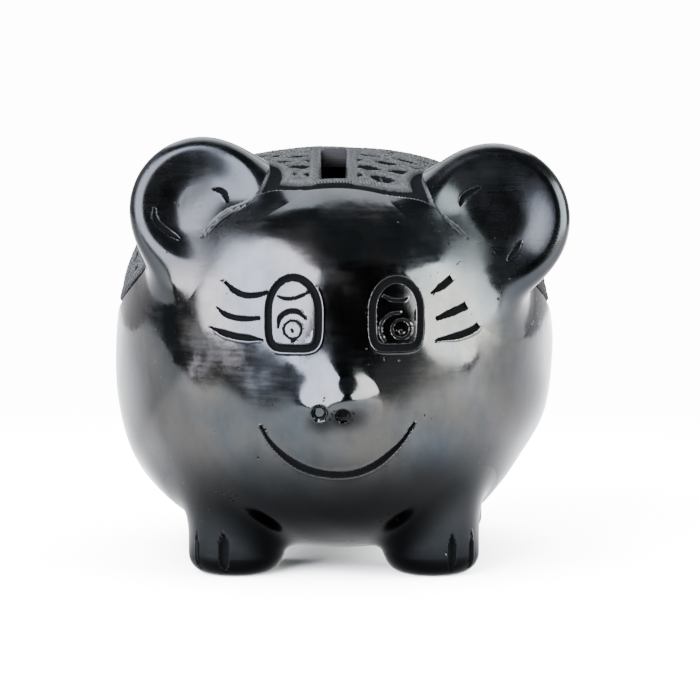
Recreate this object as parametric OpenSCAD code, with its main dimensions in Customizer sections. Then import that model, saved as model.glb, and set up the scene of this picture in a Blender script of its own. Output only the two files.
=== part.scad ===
// Burnished black clay pig bank: two luted bowls, pressed-on ears, snout, legs
// and curled tail, and a rubber stopper under the belly.
// The pig faces -Y, +Z is up, and the origin is on the floor under its middle.

/* [Body] */
// Width of the body across its flanks
body_w = 120; // [110:1:130]
// From the widest section to the front of the face
face_l = 68; // [64:1:76]
// From the widest section to the back of the rump
rump_l = 72; // [66:1:80]
// Height of the seam, where the body is widest
seam_z = 54; // [50:1:60]
// Height of the top of the back
back_z = 112; // [106:1:118]
// Gap between the belly and the floor
belly_gap = 3; // [2:0.5:6]
// How square the upper bowl's section is (2 is an ellipse)
upper_squareness = 2.5; // [2.2:0.05:2.8]
// How square the lower bowl's section is (2 is an ellipse)
lower_squareness = 2.55; // [2.2:0.05:2.8]
// Thickness of the clay wall
wall = 5; // [4:0.5:7]
// How deep the pressed-on pieces are keyed into the wall
key_in = 2.5; // [1:0.5:3]

/* [Coin slot] */
// Width of the slot, for a coin's thickness
slot_w = 6.6; // [4:0.2:8]
// Length of the slot, for a coin's diameter
slot_l = 28; // [24:1:34]
// Distance of the slot's middle in front of the widest section
slot_ahead = 28; // [26:1:38]

/* [Ears] */
// Outer radius of the pig's right ear, seen on the left from the front
right_ear_r = 18.8; // [16:0.2:21]
// Outer radius of the pig's left ear
left_ear_r = 19.8; // [16:0.2:21]
// Radius of the rolled rim
ear_rim = 4.2; // [3:0.1:5]
// Thickness of the dished web inside the rim
ear_web = 4.4; // [3.6:0.2:6]
// Backward lean of the ears, in degrees
ear_lean = 12; // [0:1:20]
// Outward turn of the ears, in degrees
ear_turn = 10; // [0:1:20]

/* [Snout] */
// Radius of the snout at its foot
snout_r = 11; // [9:0.5:13]
// How far the snout stands out of the face
snout_out = 6.2; // [4:0.2:9]
// Bore of a nostril
nostril_d = 3; // [2:0.2:3.6]
// Distance between the nostrils' middles
nostril_gap = 5.8; // [4.8:0.2:7]

/* [Legs] */
// Radius of a leg
leg_r = 12.5; // [11:0.5:14]
// Rounding of a foot's lower edge
foot_round = 3.5; // [2:0.5:5]
// Width of a notch between two toes
notch_w = 2.4; // [1.6:0.2:3]
// Height of a toe notch
notch_h = 12; // [8:1:14]

/* [Tail] */
// Radius of the curl, at the middle of the roll of clay
curl_r = 6; // [5:0.5:8]
// Radius of the roll of clay
roll_r = 3.7; // [3:0.1:4.4]

/* [Stopper] */
// Bore in the belly for the stopper
bore_d = 28; // [24:1:32]
// Thickness of the stopper's flange
flange_t = 1.6; // [1.2:0.2:2]
// How far the flange reaches past the bore
flange_lip = 3; // [2:0.5:4]

/* [Hidden] */

clay = "#3a3f44";
rubber = "#1b1b1c";
eps = 0.01;
turn_fn = 120;                       // facets of the preview's turned shapes
profile_steps = 16;                  // points along a bowl's section

half_w = body_w / 2;
upper_h = back_z - seam_z;           // rise of the upper bowl
lower_h = seam_z - belly_gap;        // drop of the lower bowl

// Middles of the ears. The pig's left ear sits lower and further out.
right_ear_at = [-34.5, -39, 96.6];
left_ear_at = [42, -39, 94];
left_reach = left_ear_at[0] + (left_ear_r - ear_rim) * cos(ear_turn) + ear_rim;
mid_x = min(0, (half_w - left_reach) / 2);   // keeps the outline centred on X

// The legs' middles, [across, along]
front_leg = [26, -33];
rear_leg = [30, 30];

// The snout's middle on the face
snout_at = [1.5, 47.5];              // [across, height]
nostril_drop = 1.4;                  // the nostrils sit below the snout's middle
nostril_deep = 3;

// The stopper
stopper_y = 4;
fit_gap = 0.3;                       // clearance round the plug and its flange
flange_d = bore_d + 2 * flange_lip;
seat_z = belly_gap + 0.4;            // lower face of the flange, clear of the floor
plug_h = wall + 5;                   // plug above the flange
pull_d = 8;                          // finger dimple under the plug
pull_deep = 1;

front_y = -face_l - snout_out;       // tip of the snout
tail_at = [1, rump_l * 0.8, 101.2];  // middle of the curl
tip_swell = 0.2;                     // the tail's round tip is a little fuller than the roll
back_y = max(rump_l, tail_at[1] + curl_r + roll_r);
mid_y = -(front_y + back_y) / 2;     // keeps the outline centred on Y

// ---------- the body's shape ----------

function rounded(v, squareness) = pow(max(0, v), 2 / squareness);

// A quarter of a squarish ellipse, r across and h up, closed back to its centre
function bowl_section(r, h, squareness) = concat(
    [for (i = [0:profile_steps]) let (t = 90 * i / profile_steps)
        [r * rounded(cos(t), squareness), h * rounded(sin(t), squareness)]],
    [[0, 0]]);

// How far the point [x, y] is from the body's axis: 0 at the axis, 1 at the rim
function plan_reach(x, y) = sqrt(pow(x / half_w, 2) + pow(y / (y < 0 ? face_l : rump_l), 2));

// Height of the belly over the floor at [x, y]
function belly_z(x, y) =
    seam_z - lower_h * pow(1 - pow(plan_reach(x, y), lower_squareness), 1 / lower_squareness);

// Half of a solid bowl standing on the seam, inset from the outer skin.
// It is turned through half a circle and stretched to its own length.
module half_bowl(inset, h, squareness, l, facing) {
    r = half_w - inset;
    scale([1, (l - inset) / r, 1])
        rotate([0, 0, facing])
            rotate_extrude(angle = 180, $fn = turn_fn)
                polygon(bowl_section(r, h - inset, squareness));
}

module upper_front(inset) {
    translate([0, 0, seam_z]) half_bowl(inset, upper_h, upper_squareness, face_l, 180);
}

module upper_rear(inset) {
    translate([0, 0, seam_z]) half_bowl(inset, upper_h, upper_squareness, rump_l, 0);
}

module lower_front(inset) {
    translate([0, 0, seam_z]) mirror([0, 0, 1])
        half_bowl(inset, lower_h, lower_squareness, face_l, 180);
}

module lower_rear(inset) {
    translate([0, 0, seam_z]) mirror([0, 0, 1])
        half_bowl(inset, lower_h, lower_squareness, rump_l, 0);
}

// Puts a piece that is drawn round the body's axis into the part's own frame
module placed() {
    translate([mid_x, mid_y, 0]) children();
}

// ---------- the pieces ----------

module upper_bowl() {
    color(clay) placed() difference() {
        union() {
            upper_front(0);
            upper_rear(0);
        }
        upper_front(wall);
        upper_rear(wall);
        translate([-slot_w / 2, -slot_ahead - slot_l / 2, seam_z + upper_h / 2])
            cube([slot_w, slot_l, upper_h]);
    }
}

module lower_bowl() {
    color(clay) placed() difference() {
        union() {
            lower_front(0);
            lower_rear(0);
        }
        lower_front(wall);
        lower_rear(wall);
        translate([0, stopper_y, -eps]) cylinder(d = bore_d, h = seam_z / 2, $fn = turn_fn);
        translate([0, stopper_y, -eps])
            cylinder(d = flange_d + 2 * fit_gap, h = seat_z + flange_t + eps, $fn = turn_fn);
    }
}

// A dished disc with a rolled rim, facing +Z, its middle at the origin
module ear_disc(r) {
    rotate_extrude($fn = turn_fn) {
        translate([r - ear_rim, 0]) circle(r = ear_rim, $fn = 48);
        translate([0, -ear_web * 0.8]) square([r - ear_rim, ear_web]);
    }
}

// side is -1 for the pig's right, +1 for its left
module ear(at, r, side) {
    color(clay) placed() difference() {
        translate(at) rotate([0, 0, side * ear_turn]) rotate([90 - ear_lean, 0, 0]) ear_disc(r);
        upper_front(key_in);
        lower_front(key_in);
    }
}

module left_ear() {
    ear(left_ear_at, left_ear_r, 1);
}

module right_ear() {
    ear(right_ear_at, right_ear_r, -1);
}

// A soft bell that fades into the face, standing along +Z
module snout_bell(r, h) {
    rotate_extrude($fn = turn_fn)
        polygon(concat(
            [[0, -wall]],
            [[r, -wall]],
            [for (i = [0:profile_steps]) let (u = 1 - i / profile_steps)
                [r * u, h * (1 + cos(180 * u)) / 2]]));
}

module snout() {
    root = 2;                        // the bell starts this far inside the face
    color(clay) placed() difference() {
        translate([snout_at[0], -face_l + root, snout_at[1]]) rotate([90, 0, 0])
            snout_bell(snout_r, snout_out + root);
        lower_front(key_in);
        upper_front(key_in);
        for (side = [-1, 1])
            translate([snout_at[0] + side * nostril_gap / 2,
                       -face_l - snout_out + nostril_deep,
                       snout_at[1] - nostril_drop])
                rotate([90, 0, 0]) cylinder(d = nostril_d, h = 2 * nostril_deep, $fn = 32);
    }
}

// A stub with a rounded foot, flat where it stands, and two notches for the toes
module leg_stub(h) {
    difference() {
        rotate_extrude($fn = turn_fn) {
            square([leg_r - foot_round, h]);
            translate([0, foot_round]) square([leg_r, h - foot_round]);
            translate([leg_r - foot_round, foot_round]) circle(r = foot_round, $fn = 48);
        }
        for (turn = [-18, 28])
            rotate([0, 0, -90 + turn])
                translate([leg_r, 0, foot_round / 2])
                    cylinder(d = notch_w, h = notch_h, $fn = 24);
    }
}

// side is -1 for the pig's right, +1 for its left
module leg(at, side) {
    color(clay) placed() difference() {
        translate([side * at[0], at[1], 0])
            scale([side, 1, 1])
                leg_stub(belly_z(at[0] + leg_r, at[1]) + leg_r);
        if (at[1] < 0) lower_front(key_in);
        else lower_rear(key_in);
    }
}

module front_left_leg() {
    leg(front_leg, 1);
}

module front_right_leg() {
    leg(front_leg, -1);
}

module rear_left_leg() {
    leg(rear_leg, 1);
}

module rear_right_leg() {
    leg(rear_leg, -1);
}

// A roll of clay that leaves the rump, curls up and over, and ends in a round tip
module tail() {
    root = 205;                      // angle at which the roll leaves the rump
    tip = -70;                       // angle at which the curl ends
    color(clay) placed() difference() {
        translate(tail_at) rotate([90, 0, 90]) rotate([0, 0, tip]) {
            rotate_extrude(angle = root - tip, $fn = turn_fn)
                translate([curl_r, 0]) circle(r = roll_r, $fn = 48);
            translate([curl_r, 0, 0]) sphere(r = roll_r + tip_swell, $fn = 48);
        }
        upper_rear(key_in);
    }
}

module stopper() {
    color(rubber) placed() translate([0, stopper_y, seat_z]) difference() {
        union() {
            cylinder(d = flange_d, h = flange_t - fit_gap, $fn = turn_fn);
            cylinder(d = bore_d - 2 * fit_gap, h = plug_h, $fn = turn_fn);
        }
        translate([0, 0, -eps]) cylinder(d = pull_d, h = pull_deep, $fn = 48);
    }
}

upper_bowl();
lower_bowl();
snout();
left_ear();
right_ear();
front_left_leg();
front_right_leg();
rear_left_leg();
rear_right_leg();
tail();
stopper();
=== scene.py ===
# %% [markdown]
# A clay pig bank, burnished and fired black. The imported model gives the frame:
# the body, the legs, the stopper and the outer edges of the ears and tail are
# read off its solids. The face, the blanket, the snout's lumps, how far back
# the ears stand and the pared left flank are given. Lengths are in
# millimetres, measured from the pig's own middle.

# %% The frame
import bpy
import numpy as np
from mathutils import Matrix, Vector


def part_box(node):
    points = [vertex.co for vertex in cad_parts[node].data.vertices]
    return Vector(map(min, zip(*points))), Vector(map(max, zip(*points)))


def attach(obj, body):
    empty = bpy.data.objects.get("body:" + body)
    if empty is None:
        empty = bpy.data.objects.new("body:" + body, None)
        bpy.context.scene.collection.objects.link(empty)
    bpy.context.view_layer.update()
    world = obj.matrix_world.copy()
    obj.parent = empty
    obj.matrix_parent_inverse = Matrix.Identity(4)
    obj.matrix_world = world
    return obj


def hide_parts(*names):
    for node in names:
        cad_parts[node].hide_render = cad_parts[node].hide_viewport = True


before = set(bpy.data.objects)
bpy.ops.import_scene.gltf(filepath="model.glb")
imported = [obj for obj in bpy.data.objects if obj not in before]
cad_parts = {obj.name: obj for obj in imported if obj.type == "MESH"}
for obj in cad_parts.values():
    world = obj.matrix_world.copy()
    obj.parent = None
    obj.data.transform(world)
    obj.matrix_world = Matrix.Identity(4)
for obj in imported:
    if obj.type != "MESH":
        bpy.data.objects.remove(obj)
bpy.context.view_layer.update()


def box_mm(node):
    """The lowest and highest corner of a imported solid, in millimetres."""
    return [np.array(corner) * 1000 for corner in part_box(node)]


upper_lo, upper_hi = box_mm("upper_bowl")
lower_lo, lower_hi = box_mm("lower_bowl")
HALF_W = (upper_hi[0] - upper_lo[0]) / 2
LENGTH = upper_hi[1] - upper_lo[1]
FACE_SHARE = 0.486                       # of the length lies in front of the widest section
FACE_L = LENGTH * FACE_SHARE             # from the widest section to the face
RUMP_L = LENGTH - FACE_L                 # from the widest section to the rump
SEAM_Z = lower_hi[2]
UPPER_H = upper_hi[2] - SEAM_Z
LOWER_H = SEAM_Z - lower_lo[2]
WALL = 5.0
BACK_POWER, BELLY_POWER = 2.5, 2.55      # how square each bowl's outline is: 2 would be an ellipse
MIDDLE = np.array([(upper_lo[0] + upper_hi[0]) / 2, upper_lo[1] + FACE_L, 0])
print("body", 2 * HALF_W, LENGTH, UPPER_H + LOWER_H, "middle", MIDDLE)

# %% [markdown]
# Hand-built clay has no hard joins: the potter smears each ear and leg into the
# wall. Every shape is therefore written as a field, a formula that gives the
# distance to its surface (negative inside), and two fields are melted together
# with a soft minimum. The meshes are then drawn onto the melted surface.

# %% Fields


def melt(a, b, soft):
    """The smaller of two distances, rounded over where they differ by less than soft:
    min(a, b) less soft/6 times the cube of how close they are."""
    close = np.maximum(soft - np.abs(a - b), 0) / soft
    return np.minimum(a, b) - close**3 * soft / 6


def far(v):
    """The length of each vector."""
    return np.sqrt((v * v).sum(-1))


def smooth_step(low, high, v):
    """0 below low, 1 above high, and an S-curve between."""
    t = np.clip((v - low) / (high - low), 0, 1)
    return t * t * (3 - 2 * t)


def pared(z):
    """How far the pig's left flank is pared in, as a share of its width: a bell over height."""
    return 0.085 * np.exp(-(((z - 20) / 17) ** 2))


def bowl_reach(p, inset=0.0):
    """How far out a point is, as a share of the body's own radius in that direction:
    a squarish ellipse, with its own length and power in front, behind, above and below."""
    x = np.where(p[..., 0] > 0, p[..., 0] / (1 - pared(p[..., 2])), p[..., 0]) / (HALF_W - inset)
    y = p[..., 1] / (np.where(p[..., 1] < 0, FACE_L, RUMP_L) - inset)
    up = p[..., 2] - SEAM_Z
    power = np.where(up > 0, BACK_POWER, BELLY_POWER)
    z = np.abs(up) / (np.where(up > 0, UPPER_H, LOWER_H) - inset)
    plan = np.sqrt(x * x + y * y)
    return (plan**power + z**power) ** (1 / power)


def hand_lumps(p):
    """What fingers leave: three slow waves across the clay, a quarter of a millimetre high."""
    x, y, z = p[..., 0], p[..., 1], p[..., 2]
    return (0.16 * np.sin(x / 6.1 + 0.8 * np.sin(z / 11)) * np.sin(z / 7.3 + 1.1 + y / 19)
            + 0.12 * np.sin((x + z) / 4.4 + 2.0) * np.sin((y - x) / 8.2 + 0.4)
            + 0.10 * np.sin(z / 3.9 + x / 13 + 0.7) * np.sin(y / 5.7 + 1.9))


def bridge(p):
    """The low wedge between snout and forehead: a bell across, and a longer one up the face."""
    x, z = p[..., 0] - 1.8, p[..., 2] - 51
    height = 2.2 * np.exp(-((x / 6.0) ** 2) - (z / np.where(z > 0, 9.0, 5.0)) ** 2)
    return np.where(p[..., 1] < 0, height, 0)


def body_field(p):
    """Distance to the body's skin along the line from its middle, less the lumps and the bridge."""
    reach = np.maximum(bowl_reach(p), 1e-6)
    return (reach - 1) / reach * far(p - np.array([0, 0, SEAM_Z])) - hand_lumps(p) - bridge(p)


def slope(field, p, e=0.02):
    """The field's gradient, from four samples at the corners of a small tetrahedron."""
    corners = np.array([[1, -1, -1], [-1, -1, 1], [-1, 1, -1], [1, 1, 1]], float)
    return sum(c * field(p + e * c)[..., None] for c in corners) / (4 * e)


def drawn_onto(p, field, steps=10, level=None):
    """Newton's rule: each point moves along the slope by the field's value over the slope's size squared.
    Points marked level only move sideways."""
    for _ in range(steps):
        g = slope(field, p)
        if level is not None:
            g[level, 2] = 0
        move = field(p) / np.maximum((g * g).sum(-1), 0.2)
        p = p - g * np.clip(move, -3, 3)[..., None]
    return p


def outward(field, p):
    """The unit slope of a field, which points out of the clay."""
    g = slope(field, p)
    return g / far(g)[..., None]

# %% [markdown]
# The ears are dished discs with a rolled rim, the legs short round stubs, the
# snout a pinched nub under a low bridge, and the tail one curl of rolled clay.

# %% Fields of the pressed-on pieces
EAR_Y, EAR_TURN, EAR_LEAN = -38.5, np.radians(4), np.radians(12)
PACKED_RIM = 4.2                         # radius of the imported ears' rim, which sets their outer edge
EARS = {}
for name, side, radius in (("right_ear", -1, 18.8), ("left_ear", 1, 19.8)):
    lo, hi = [corner - MIDDLE for corner in box_mm(name)]
    turn, lean = EAR_TURN * side, EAR_LEAN
    faces = np.array([np.sin(turn) * np.cos(lean), -np.cos(turn) * np.cos(lean), np.sin(lean)])
    across = np.array([np.cos(turn), np.sin(turn), 0])
    rise = np.cross(faces, across)
    outer_x = lo[0] if side < 0 else hi[0]
    middle_x = outer_x - side * ((radius - PACKED_RIM) * np.cos(turn) + PACKED_RIM)
    middle = np.array([middle_x, EAR_Y, hi[2] - radius])
    EARS[name] = dict(middle=middle, faces=faces, across=across, rise=rise, radius=radius)
    print(name, "middle", middle.round(1), "radius", radius)

# Radius of an ear's rounded edge, half its thickness, and its hollow's depth
RIM, EAR_T, DISH = 4.7, 4.9, 2.3


def ear_field(p, ear):
    """A thick round-edged disc; over the middle, its front face is pushed in by a smooth shallow bowl."""
    q = p - ear["middle"]
    w = q @ ear["faces"]
    rho = far(q - w[..., None] * ear["faces"])
    bowl = DISH * smooth_step(0.88, 0.30, rho / ear["radius"])
    w = w + bowl * smooth_step(-2.5, 2.5, w)
    side, face = rho - (ear["radius"] - RIM), np.abs(w) - (EAR_T - RIM)
    corner = np.hypot(np.maximum(side, 0), np.maximum(face, 0))
    return corner + np.minimum(np.maximum(side, face), 0) - RIM


LEG_R, FOOT_ROUND = 12.5, 5.0
LEGS = {}
for name in ("front_left_leg", "front_right_leg", "rear_left_leg", "rear_right_leg"):
    lo, hi = [corner - MIDDLE for corner in box_mm(name)]
    LEGS[name] = (lo + hi)[:2] / 2


def leg_field(p, at):
    """An upright round stub with a rounded lower edge, standing on the floor."""
    rho = np.hypot(p[..., 0] - at[0], p[..., 1] - at[1])
    side, under = rho - (LEG_R - FOOT_ROUND), FOOT_ROUND - p[..., 2]
    corner = np.hypot(np.maximum(side, 0), np.maximum(under, 0))
    return corner + np.minimum(np.maximum(side, under), 0) - FOOT_ROUND


SNOUT_X, SNOUT_Z = 0.8, 47.5


def bell(p, x, z, radius, power=2.0):
    """1 at (x, z) on the face and falling off round it: exp of minus (distance over radius) to a power."""
    return np.exp(-((np.hypot(p[..., 0] - x, p[..., 2] - z) / radius) ** power))


NOSTRILS = ((-3.3, 46.2, 1.75), (2.5, 45.6, 1.5))


def snout_lumps(p):
    """Two low lumps pinched side by side, the pig's left one larger, less two nostrils with raised edges."""
    lumps = 3.3 * bell(p, 4.3, 48.6, 5.2, 2.4) + 2.4 * bell(p, -3.2, 46.6, 4.2, 2.4)
    for x, z, r in NOSTRILS:
        lumps = lumps + 0.45 * bell(p, x, z, r * 1.45, 4) - 4.2 * bell(p, x, z, r, 4)
    return lumps * smooth_step(13.5, 10.0, np.hypot(p[..., 0] - SNOUT_X, p[..., 2] - SNOUT_Z))


tail_lo, tail_hi = [corner - MIDDLE for corner in box_mm("tail")]
ROLL, CURL = 3.7, 6.0
TAIL = np.array([(tail_lo[0] + tail_hi[0]) / 2, tail_hi[1] - CURL - ROLL, tail_hi[2] - CURL - ROLL])
TAIL_FROM, TAIL_TO = np.radians(205), np.radians(-18)


def tail_line(t):
    """The middle of the tail's roll: an arc in the plane of symmetry, from the rump (t 0) to the tip (t 1)."""
    turn = TAIL_FROM + (TAIL_TO - TAIL_FROM) * t
    return TAIL + np.stack([0 * t, CURL * np.cos(turn), CURL * np.sin(turn)], -1)


def tail_field(p):
    """A round roll about the arc, a little thinner at the tip."""
    q = p - TAIL
    turn = np.arctan2(q[..., 2], q[..., 1])
    turn = np.where(turn < np.radians(-112), turn + 2 * np.pi, turn)
    t = np.clip((turn - TAIL_FROM) / (TAIL_TO - TAIL_FROM), 0, 1)
    return far(p - tail_line(t)) - (ROLL - 0.8 * t)

# %% [markdown]
# The face and toes are cut with a small gouge while the clay is leather-hard. A
# cut is a smooth line on the skin with a width that tapers, and its floor is
# flat between steep walls. Its inside is painted near-black as painted shade, so
# it reads as a crisp dark line on the polish.

# %% Gouged lines


def smooth_line(points, count=56):
    """A Catmull-Rom curve through a few points: on each span, the cubic whose ends have the slope of the
    chord between their neighbours."""
    p = np.array(points, float)
    p = np.concatenate([2 * p[:1] - p[1:2], p, 2 * p[-1:] - p[-2:-1]])
    t = np.linspace(0, len(p) - 3 - 1e-9, count)
    k, f = t.astype(int), (t % 1)[:, None]
    a, b, c, d = p[k], p[k + 1], p[k + 2], p[k + 3]
    return 0.5 * (2 * b + (c - a) * f + (2 * a - 5 * b + 4 * c - d) * f**2 + (3 * b - a - 3 * c + d) * f**3)


def gouge(line, half_width, depth, taper=(0.3, 0.3)):
    """A cut along a line of points in space: its half width falls to a share of itself at each end."""
    run = np.linspace(0, 1, len(line))
    half = half_width * (taper[0] + (1 - taper[0]) * smooth_step(0, 0.3, run))
    half = half * (taper[1] + (1 - taper[1]) * smooth_step(0, 0.3, 1 - run))
    middle = line.mean(0)
    reach = far(line - middle).max() + 3 * half_width + 1
    return dict(line=line, half=half, depth=depth, middle=middle, reach=reach)


def line_distance(p, cut):
    """Distance from each point to a cut's line, over the half width there: to the nearest of its segments,
    each measured at the foot of the perpendicular."""
    a, b = cut["line"][:-1], cut["line"][1:]
    ab = b - a
    t = np.clip(((p[:, None] - a) * ab).sum(-1) / (ab * ab).sum(-1), 0, 1)
    d = far(p[:, None] - a - t[..., None] * ab)
    half = cut["half"][:-1] + t * np.diff(cut["half"])
    return (d / half).min(1)


def cuts_depth(p, cuts):
    """Depth of the clay taken out at each point, and a share that falls evenly with distance from the line:
    1 on it, a half at the cut's edge, 0 at twice its half width, so an edge drawn at a half is crisp. The
    finish paints the cut near-black by this share: painted shade."""
    flat_p = p.reshape(-1, 3)
    depth, bare_and_shaded = np.zeros(len(flat_p)), np.zeros(len(flat_p))
    for cut in cuts:
        near = np.flatnonzero(far(flat_p - cut["middle"]) < cut["reach"])
        if len(near):
            share = line_distance(flat_p[near], cut)
            floor = 1 - smooth_step(0.55, 1.15, share)
            lip = 0.06 * np.exp(-(((share - 1.4) / 0.3) ** 2))
            depth[near] = np.maximum(depth[near], cut["depth"] * floor) - lip
            bare_and_shaded[near] = np.maximum(bare_and_shaded[near], np.clip(1 - 0.5 * share, 0, 1))
    return depth.reshape(p.shape[:-1]), bare_and_shaded.reshape(p.shape[:-1])


def pushed_in(p, normals, depth):
    """Points moved in along their normals by depth, and the new normals: the old one plus the part of the
    depth's slope that lies along the skin."""
    cut = slope(depth, p)
    tilt = normals + cut - (cut * normals).sum(-1)[..., None] * normals
    return p - normals * depth(p)[..., None], tilt / far(tilt)[..., None]


def add_share(obj, name, values):
    """Stores one number for each point, for the finish to read."""
    obj.data.attributes.new(name, "FLOAT", "POINT").data.foreach_set("value", np.asarray(values, np.float32))

# %% [markdown]
# The back wears a carved blanket: rows of leaf-shaped gouges set like bricks in
# a dull scratched ground, roped edges along the slot, and a scooped border.

# %% Blanket
SLOT_Y, SLOT_HALF = (-42.0, -14.0), 3.3
BLANKET_FRONT = -46.5
ROW, LEAF_PITCH, LEAF_HALF, LEAF_WIDE = 5.6, 10.4, 4.8, 2.1


def blanket_edge(p):
    """Distance in from the blanket's outline along the skin: the height above the outline's own
    height at that y, over how fast that changes along the skin."""

    def above(q):
        y = q[..., 1]
        front = 25 * (np.maximum(-5 - y, 0) / 45) ** 1.4
        rear = 31 * (np.maximum(y - 25, 0) / 21) ** 1.4
        return q[..., 2] - 67 - front - rear

    g, n = slope(above, p, 0.05), outward(body_field, p)
    along = g - (g * n).sum(-1)[..., None] * n
    return above(p) / np.maximum(far(along), 0.3)


def blanket_parts(p):
    """For each point: distance in from the outline, from the ears and from the slot, and place in the rows."""
    inside = blanket_edge(p)
    ears = np.minimum(ear_field(p, EARS["right_ear"]), ear_field(p, EARS["left_ear"])) - 2.0
    inside = np.minimum(np.minimum(inside, ears), p[..., 1] - BLANKET_FRONT)
    turn = np.arctan2(p[..., 0] / HALF_W, (p[..., 2] - SEAM_Z) / UPPER_H)
    across = turn * 64
    slot = np.hypot(np.maximum(np.abs(p[..., 0]) - SLOT_HALF, 0),
                    np.maximum(np.maximum(SLOT_Y[0] - p[..., 1], p[..., 1] - SLOT_Y[1]), 0))
    return inside, across, slot


def blanket(p):
    """Depth, and the shares of dark gouge painted near-black as shade, dull ground and rope. A leaf is a lens:
    its half width falls with the square of the distance along it, and its depth with the square of the distance
    across."""
    inside, across, slot = blanket_parts(p)
    row = np.round(p[..., 1] / ROW)
    v = p[..., 1] - row * ROW + 0.35 * np.sin(across / 9 + row)
    u = (across + (row % 2) * LEAF_PITCH / 2) / LEAF_PITCH
    u = (u - np.round(u)) * LEAF_PITCH
    lens = LEAF_WIDE * (1 - (u / LEAF_HALF) ** 2)
    leaf = np.clip(1 - (v / np.maximum(lens, 0.05)) ** 2, 0, 1) * (lens > 0)
    field = smooth_step(0.0, 0.5, inside)
    open_ground = smooth_step(4.6, 5.4, inside) * smooth_step(2.9, 3.5, slot)
    leaf = leaf * open_ground
    scoop = 1 - np.clip(np.abs(inside - 1.5) / 1.5, 0, 1) ** 2
    border = field * smooth_step(3.0, 2.4, inside) * scoop
    edge_rope = np.exp(-(((inside - 3.9) / 0.8) ** 4))
    slot_rope = np.exp(-(((slot - 1.5) / 1.2) ** 4)) * (inside > 0.5)
    off_leaf = np.abs(v) - np.maximum(lens, 0) - 0.55
    leaf_rope = open_ground * np.exp(-((off_leaf / 0.5) ** 2)) * 0.9
    rope = np.maximum(np.maximum(edge_rope, slot_rope), leaf_rope)
    depth = 0.5 * field * (slot > 0) + 1.3 * leaf + 0.9 * border - 0.5 * rope
    # Painted shade: the leaf gouges and the scooped border get this share, which the finish paints near-black.
    dark = np.maximum(0.25 + 1.2 * leaf, 0.9 * border) * (np.maximum(leaf, border) > 0)
    return depth * field, np.minimum(dark, 1) * field, field, rope * field


def over_back(p):
    """Where a point could be under the blanket at all."""
    return (p[..., 2] > 64) & (p[..., 1] > -56)


def on_back(p):
    """The blanket's depth, dark, ground and rope at each point, and nought away from the back."""
    parts = np.zeros((4,) + p.shape[:-1])
    back = over_back(p)
    if back.any():
        parts[:, back] = blanket(p[back])
    return parts

# %% [markdown]
# A pressed-on piece is one closed skin. Its grid starts at a pole on the tip,
# runs down to the body, spreads over it as a thin skirt where the potter's
# thumb smeared the join, then dives under the body's skin and closes at a pole
# inside the wall. A first guess is drawn onto the melted field, and relaxed.

# %% Meshes from arrays
# How far a skirt lies above the body's skin, how far its edge dives, and how deep a root goes
PROUD, DIVE, ROOT_DEPTH = 0.012, 0.3, 1.6
CREASE = np.radians(55)                  # edges sharper than this are drawn sharp


def put_mesh(name, points, loops, starts, loop_normals):
    """Makes an object from points in mm, the corners of all its faces in a row, and where each face starts."""
    mesh = bpy.data.meshes.new(name)
    mesh.vertices.add(len(points))
    mesh.vertices.foreach_set("co", ((points + MIDDLE) / 1000).astype(np.float32).ravel())
    mesh.loops.add(len(loops))
    mesh.loops.foreach_set("vertex_index", loops.astype(np.int32))
    mesh.polygons.add(len(starts))
    mesh.polygons.foreach_set("loop_start", starts.astype(np.int32))
    mesh.update(calc_edges=True)
    mesh.polygons.foreach_set("use_smooth", np.ones(len(starts), bool))
    mesh.set_sharp_from_angle(angle=CREASE)
    mesh.normals_split_custom_set(loop_normals.tolist())
    obj = bpy.data.objects.new(name, mesh)
    bpy.context.scene.collection.objects.link(obj)
    totals = np.diff(np.append(starts, len(loops)))
    valid = not mesh.validate()
    print(name, len(points), "points", int((totals - 2).sum()), "triangles, valid", valid)
    return obj


def grid_faces(rows, columns):
    """Corner rows and starts of a closed polar grid: a pole, rows of points, and another pole."""
    first = 1 + np.arange(rows * columns).reshape(rows, columns)
    nxt = np.roll(first, -1, axis=1)
    quads = np.stack([first[:-1], first[1:], nxt[1:], nxt[:-1]], -1).reshape(-1, 4)
    head = np.stack([np.zeros(columns, int), first[0], nxt[0]], -1)
    foot = np.stack([first[-1], np.full(columns, 1 + rows * columns), nxt[-1]], -1)
    loops = np.concatenate([head.ravel(), quads.ravel(), foot.ravel()])
    sizes = np.concatenate([[0], np.full(columns, 3), np.full(len(quads), 4), np.full(columns, 3)])
    starts = np.cumsum(sizes)[:-1]
    return loops, starts


def turned_out(points, loops, starts, columns):
    """Reverses every face if the closed skin's volume comes out negative."""
    quads = loops[3 * columns:-3 * columns].reshape(-1, 4)
    a, b, c, d = (points[quads[:, k]] for k in range(4))
    if np.einsum("ij,ij->i", np.cross(a, b), c).sum() + np.einsum("ij,ij->i", np.cross(a, c), d).sum() > 0:
        return loops
    ends = np.append(starts[1:], len(loops))
    lengths = ends - starts
    step = np.arange(len(loops)) - np.repeat(starts, lengths)
    return loops[np.repeat(ends, lengths) - 1 - step]


def cut_short(rows):
    """Each column ends where it first enters the body, and its rows are spread evenly over what is left."""
    inside = body_field(rows) < 0
    inside[:2] = False
    entry = np.where(inside.any(0), inside.argmax(0), len(rows) - 1).astype(float)
    for _ in range(4):
        entry = (np.roll(entry, 1) + entry + np.roll(entry, -1)) / 3
    at = np.linspace(0, 1, len(rows))[:, None] * entry
    k = np.minimum(at.astype(int), len(rows) - 2)
    column = np.arange(rows.shape[1])
    return rows[k, column] + (at - k)[..., None] * (rows[k + 1, column] - rows[k, column])


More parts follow.
